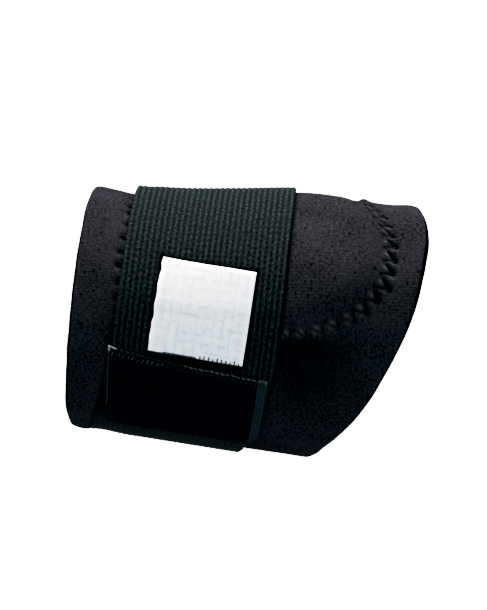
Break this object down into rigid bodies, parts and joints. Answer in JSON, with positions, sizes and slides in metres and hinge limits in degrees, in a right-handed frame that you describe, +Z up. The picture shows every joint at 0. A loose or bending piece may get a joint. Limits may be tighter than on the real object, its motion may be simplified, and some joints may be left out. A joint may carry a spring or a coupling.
{
  "type": "elbow support",
  "caption": "Soft forearm support: hollow jersey-faced sleeve with a scooped elbow end, an inner pressure pad, a wide elastic strap, a fastening tab and a bare woven label.",
  "frame": {"origin": "on the axis of the forearm that the sleeve holds, about midway along the sleeve", "axes": "+X along the forearm towards the elbow, -Y towards the outer side with the strap's tab and label, +Z up"},
  "size_m": [0.1103, 0.08, 0.0843],
  "materials": {
    "jersey_foam_rubber": "charcoal knitted jersey on both faces of black foam rubber, dull, cut edges black",
    "pad_foam": "dark foam pad with a thin knitted face",
    "ribbed_elastic": "woven elastic with fine raised ribs along its length, dark grey-green",
    "pile_tape": "black pile field inside plain woven margins, dull",
    "white_weave": "white woven ribbon with firmer edges, slight sheen, bare"
  },
  "bodies": {
    "root": {"sleeve": "jersey_foam_rubber", "pressure_pad": "pad_foam", "strap": "ribbed_elastic", "fastening_tab": "pile_tape", "woven_label": "white_weave"}
  },
  "joints": []
}
